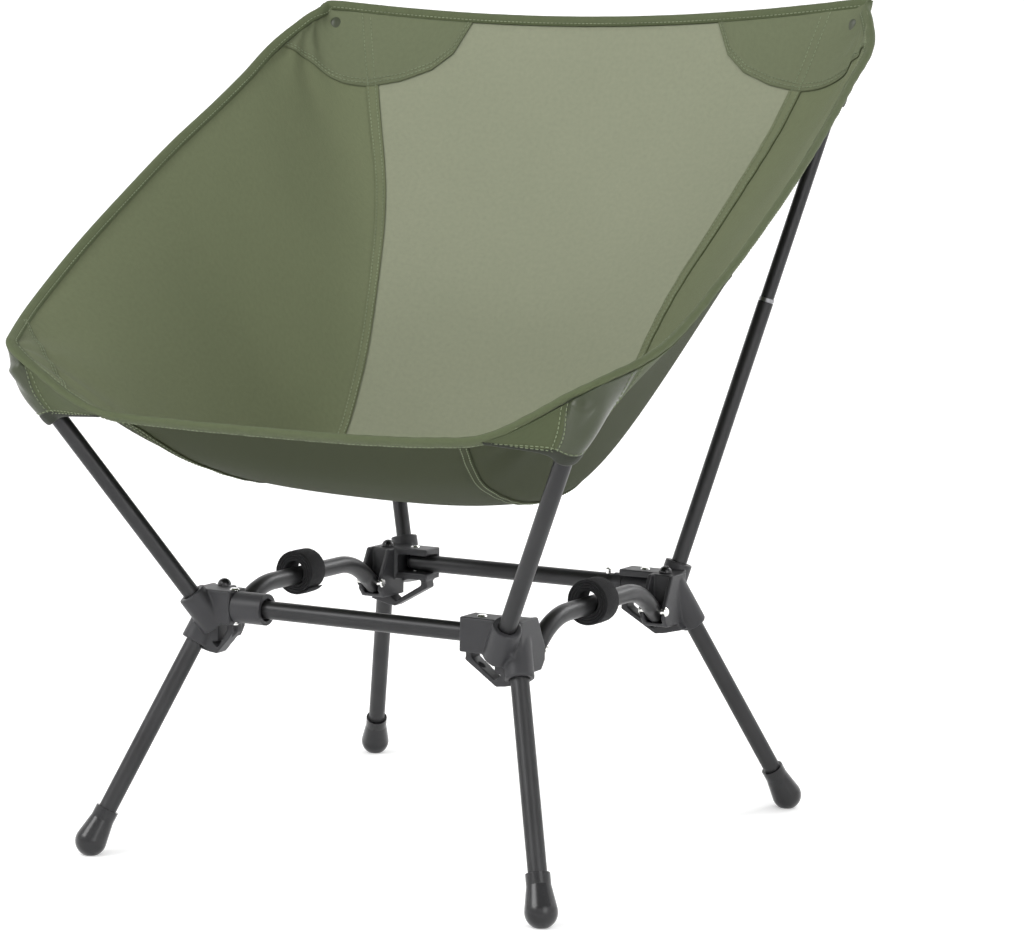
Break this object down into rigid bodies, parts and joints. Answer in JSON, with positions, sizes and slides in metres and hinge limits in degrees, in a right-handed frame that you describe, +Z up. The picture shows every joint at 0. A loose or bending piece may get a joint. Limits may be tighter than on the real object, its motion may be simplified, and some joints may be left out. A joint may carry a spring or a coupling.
{
  "type": "ultralight backpacking chair",
  "caption": "Low folding chair: alloy poles plug into moulded hubs on two curved side bars, crossbars swing inward, and a bucket seat of sewn fabric hangs on the pole tips.",
  "frame": {"origin": "on the floor, under the centre of the outline", "axes": "+Z up, -Y towards the front of the chair, +X to the right when seen from the front"},
  "size_m": [0.5936, 0.5135, 0.6899],
  "materials": {
    "hub_nylon": "moulded glass-filled nylon, satin",
    "pole_alloy": "dark grey anodised, satin",
    "ferrule_alloy": "bare turned",
    "rivet_steel": "bright nickel plated",
    "spring_steel": "wound wire",
    "shock_cord": "braided sheath",
    "foot_rubber": "smooth, slightly glossy",
    "tip_plastic": "moulded",
    "hook_loop": "napped loop side",
    "seat_fabric": "plain-weave polyester",
    "side_fabric": "plain-weave polyester",
    "pocket_fabric": "coated plain-weave polyester",
    "binding_tape": "ribbed tape"
  },
  "bodies": {
    "frame": {"hub_front_left": "hub_nylon", "hub_front_right": "hub_nylon", "hub_rear_left": "hub_nylon", "hub_rear_right": "hub_nylon", "side_bar_left": "pole_alloy", "side_bar_right": "pole_alloy", "side_bar_rivets": "rivet_steel", "channel_rivets": "rivet_steel", "hub_plugs": "foot_rubber", "leg_cords": "shock_cord", "pole_cords": "shock_cord"},
    "front_bar": {"front_crossbar": "pole_alloy", "front_latch_collar": "hub_nylon"},
    "rear_bar": {"rear_crossbar": "pole_alloy", "rear_latch_sleeve": "hub_nylon", "snap_spring": "spring_steel"},
    "snap": {"snap_button": "rivet_steel"},
    "strap_left": {"tie_strap_left": "hook_loop"},
    "strap_right": {"tie_strap_right": "hook_loop"},
    "leg_front_left": {"leg_front_left": "pole_alloy", "foot_front_left": "foot_rubber"},
    "leg_front_right": {"leg_front_right": "pole_alloy", "foot_front_right": "foot_rubber"},
    "leg_rear_left": {"leg_rear_left": "pole_alloy", "foot_rear_left": "foot_rubber"},
    "leg_rear_right": {"leg_rear_right": "pole_alloy", "foot_rear_right": "foot_rubber"},
    "pole_front_left": {"pole_front_left": "pole_alloy", "pole_tip_front_left": "tip_plastic"},
    "pole_rear_lower_left": {"pole_rear_lower_left": "pole_alloy"},
    "pole_rear_upper_left": {"pole_rear_upper_left": "pole_alloy", "ferrule_left": "ferrule_alloy", "pole_tip_rear_left": "tip_plastic"},
    "pole_front_right": {"pole_front_right": "pole_alloy", "pole_tip_front_right": "tip_plastic"},
    "pole_rear_lower_right": {"pole_rear_lower_right": "pole_alloy"},
    "pole_rear_upper_right": {"pole_rear_upper_right": "pole_alloy", "ferrule_right": "ferrule_alloy", "pole_tip_rear_right": "tip_plastic"},
    "seat_cover": {"seat_centre_panel": "seat_fabric", "seat_side_left": "side_fabric", "seat_side_right": "side_fabric", "pocket_front_left": "pocket_fabric", "pocket_front_right": "pocket_fabric", "pocket_rear_left": "pocket_fabric", "pocket_rear_right": "pocket_fabric", "edge_binding": "binding_tape"}
  },
  "joints": [
    {"name": "seat_lift", "type": "slide", "parent": "frame", "child": "seat_cover", "axis": [0, 0, 1], "range_m": [0, 0.32]},
    {"name": "front_crossbar_swing", "type": "hinge", "parent": "frame", "child": "front_bar", "pos_m": [0.1115, -0.146, 0.198], "axis": [0, 0, -1], "range_deg": [0, 82]},
    {"name": "rear_crossbar_swing", "type": "hinge", "parent": "frame", "child": "rear_bar", "pos_m": [-0.1115, 0.14, 0.198], "axis": [0, 0, -1], "range_deg": [0, 82]},
    {"name": "snap_button_press", "type": "slide", "parent": "rear_bar", "child": "snap", "axis": [0, 0, -1], "range_m": [0, 0.004], "stiffness_N_per_m": 400, "springref_m": -0.002, "deforming": ["snap_spring"]},
    {"name": "tie_strap_left_slide", "type": "slide", "parent": "frame", "child": "strap_left", "axis": [0, 1, 0], "range_m": [-0.03, 0.03]},
    {"name": "tie_strap_right_slide", "type": "slide", "parent": "frame", "child": "strap_right", "axis": [0, 1, 0], "range_m": [-0.03, 0.03]},
    {"name": "leg_front_left_pull", "type": "slide", "parent": "frame", "child": "leg_front_left", "axis": [-0.309, -0.3601, -0.8803], "range_m": [0, 0.03], "stiffness_N_per_m": 60, "springref_m": -0.1},
    {"name": "leg_front_right_pull", "type": "slide", "parent": "frame", "child": "leg_front_right", "axis": [0.309, -0.3601, -0.8803], "range_m": [0, 0.03], "stiffness_N_per_m": 60, "springref_m": -0.1},
    {"name": "leg_rear_left_pull", "type": "slide", "parent": "frame", "child": "leg_rear_left", "axis": [-0.3034, 0.4381, -0.8462], "range_m": [0, 0.03], "stiffness_N_per_m": 60, "springref_m": -0.1},
    {"name": "leg_rear_right_pull", "type": "slide", "parent": "frame", "child": "leg_rear_right", "axis": [0.3034, 0.4381, -0.8462], "range_m": [0, 0.03], "stiffness_N_per_m": 60, "springref_m": -0.1},
    {"name": "pole_front_left_pull", "type": "slide", "parent": "frame", "child": "pole_front_left", "axis": [-0.4557, -0.3862, 0.802], "range_m": [0, 0.03]},
    {"name": "pole_rear_left_pull", "type": "slide", "parent": "frame", "child": "pole_rear_lower_left", "axis": [-0.2471, 0.1588, 0.9559], "range_m": [0, 0.03]},
    {"name": "pole_rear_left_split", "type": "slide", "parent": "pole_rear_lower_left", "child": "pole_rear_upper_left", "axis": [-0.2471, 0.1588, 0.9559], "range_m": [0, 0.04]},
    {"name": "pole_front_right_pull", "type": "slide", "parent": "frame", "child": "pole_front_right", "axis": [0.4557, -0.3862, 0.802], "range_m": [0, 0.03]},
    {"name": "pole_rear_right_pull", "type": "slide", "parent": "frame", "child": "pole_rear_lower_right", "axis": [0.2471, 0.1588, 0.9559], "range_m": [0, 0.03]},
    {"name": "pole_rear_right_split", "type": "slide", "parent": "pole_rear_lower_right", "child": "pole_rear_upper_right", "axis": [0.2471, 0.1588, 0.9559], "range_m": [0, 0.04]}
  ],
  "couplings": [
    {"joint": "pole_front_left_pull", "follows": "seat_lift", "ratio": 0.09375},
    {"joint": "pole_rear_left_pull", "follows": "seat_lift", "ratio": 0.09375},
    {"joint": "pole_rear_left_split", "follows": "seat_lift", "ratio": 0.125},
    {"joint": "pole_front_right_pull", "follows": "seat_lift", "ratio": 0.09375},
    {"joint": "pole_rear_right_pull", "follows": "seat_lift", "ratio": 0.09375},
    {"joint": "pole_rear_right_split", "follows": "seat_lift", "ratio": 0.125}
  ]
}
